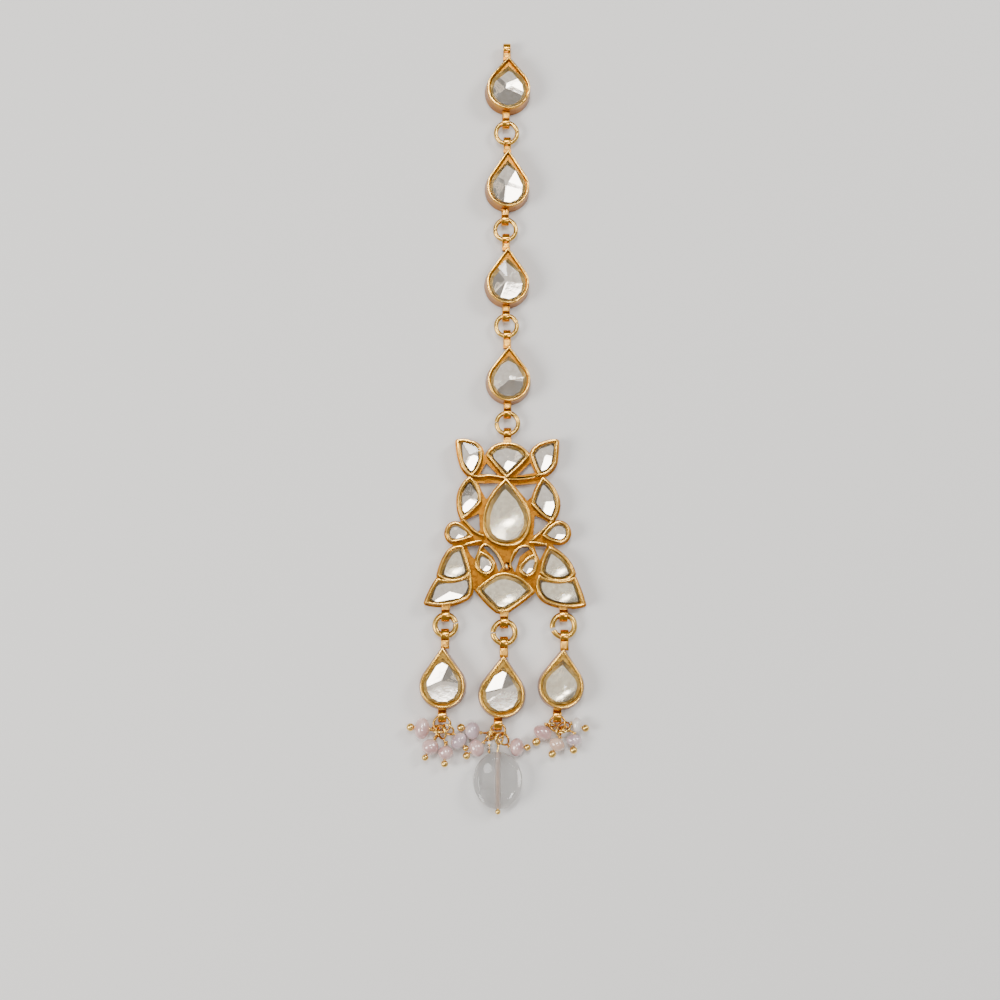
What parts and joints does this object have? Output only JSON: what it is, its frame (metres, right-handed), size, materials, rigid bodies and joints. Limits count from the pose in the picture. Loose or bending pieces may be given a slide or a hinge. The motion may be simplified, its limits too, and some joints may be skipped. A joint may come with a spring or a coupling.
{
  "type": "maang tikka",
  "caption": "Forehead ornament: stone-set drops linked into a chain, an openwork stone-set pendant, three hanging drops with pearl clusters, and a crystal bead.",
  "frame": {"origin": "middle of the ornament's footprint on the surface that it lies on, at that surface", "axes": "+Y along the chain towards the hair eyelet, +X to the wearer's left as it lies face up, +Z out of the stones' faces"},
  "size_m": [0.0326, 0.1416, 0.0038],
  "materials": {
    "gold": "satin warm gold with thin burnished rims",
    "ring_gold": "drawn wire, pale yellow gold, lightly polished",
    "pin_gold": "drawn wire with melted ball ends, polished",
    "foiled_glass": "faceted clear glass over silver foil, mirror-bright",
    "pearl_pink": "pinkish cream nacre, soft gloss",
    "pearl_lilac": "grey lilac nacre, soft gloss",
    "pearl_white": "white nacre, soft gloss",
    "clear_glass": "clear glass, polished",
    "crystal": "clear rock crystal, polished, with a frosted drill hole"
  },
  "bodies": {
    "root": {"chain_setting_1": "gold", "chain_stone_1": "foiled_glass", "jump_ring_1": "ring_gold", "chain_setting_2": "gold", "chain_stone_2": "foiled_glass", "jump_ring_2": "ring_gold", "chain_setting_3": "gold", "chain_stone_3": "foiled_glass", "jump_ring_3": "ring_gold", "chain_setting_4": "gold", "chain_stone_4": "foiled_glass", "jump_ring_4": "ring_gold", "pendant_frame": "gold", "stone_crown_left": "foiled_glass", "stone_crown_centre": "foiled_glass", "stone_crown_right": "foiled_glass", "stone_heart": "foiled_glass", "stone_shoulder_left": "foiled_glass", "stone_shoulder_right": "foiled_glass", "stone_bud_left": "foiled_glass", "stone_bud_right": "foiled_glass", "stone_wing_upper_left": "foiled_glass", "stone_wing_lower_left": "foiled_glass", "stone_wing_upper_right": "foiled_glass", "stone_wing_lower_right": "foiled_glass", "stone_seed_left": "foiled_glass", "stone_seed_right": "foiled_glass", "stone_base": "foiled_glass", "drop_setting_left": "gold", "drop_stone_left": "foiled_glass", "drop_ring_left": "ring_gold", "cluster_ring_left": "pin_gold", "head_pins_left": "pin_gold", "drop_setting_centre": "gold", "drop_stone_centre": "foiled_glass", "drop_ring_centre": "ring_gold", "cluster_ring_centre": "pin_gold", "head_pins_centre": "pin_gold", "drop_setting_right": "gold", "drop_stone_right": "foiled_glass", "drop_ring_right": "ring_gold", "cluster_ring_right": "pin_gold", "head_pins_right": "pin_gold", "pearl_left_1": "pearl_pink", "pearl_left_2": "pearl_pink", "pearl_left_3": "pearl_pink", "pearl_left_4": "pearl_lilac", "pearl_centre_1": "pearl_lilac", "pearl_centre_2": "pearl_pink", "pearl_centre_3": "pearl_pink", "seed_pearl": "pearl_white", "clear_bead": "clear_glass", "pearl_right_1": "pearl_pink", "pearl_right_2": "pearl_pink", "pearl_right_3": "pearl_lilac", "pearl_right_4": "pearl_white", "crystal_pin": "pin_gold", "crystal_bead": "crystal"}
  },
  "joints": []
}
